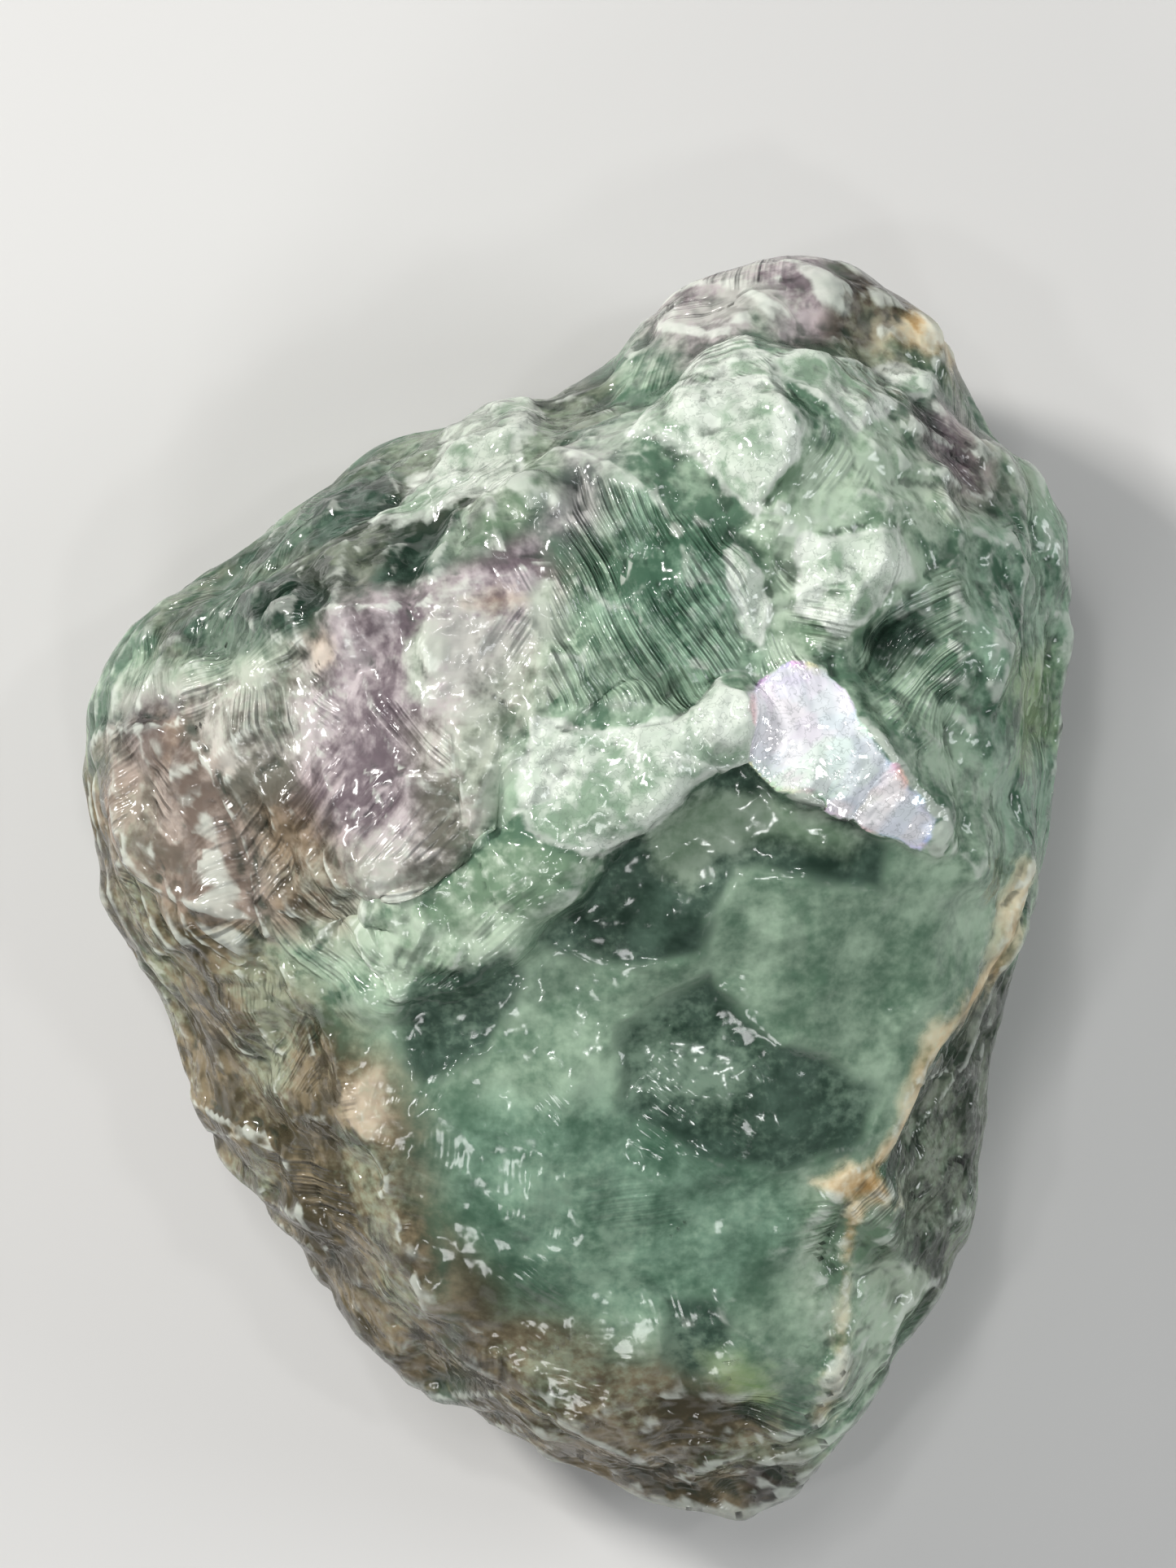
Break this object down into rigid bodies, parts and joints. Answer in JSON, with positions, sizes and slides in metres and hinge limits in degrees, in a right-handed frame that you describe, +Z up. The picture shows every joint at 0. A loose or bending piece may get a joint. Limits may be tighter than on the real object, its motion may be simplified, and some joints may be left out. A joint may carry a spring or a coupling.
{
  "type": "rough fluorite",
  "caption": "Rough lump of translucent green and purple fluorite with cleavage ledges and a flat back to rest on.",
  "frame": {"origin": "middle of the stone's box, on the surface that it rests on", "axes": "+Z up from the flat back, +Y along the length from the narrow tip to the domed cap, +X towards the smooth green side"},
  "size_m": [0.0498, 0.064, 0.03],
  "materials": {
    "fluorite": "translucent green stone with purple and smoky zones, glossy broken faces"
  },
  "bodies": {
    "root": {"fluorite": "fluorite"}
  },
  "joints": []
}
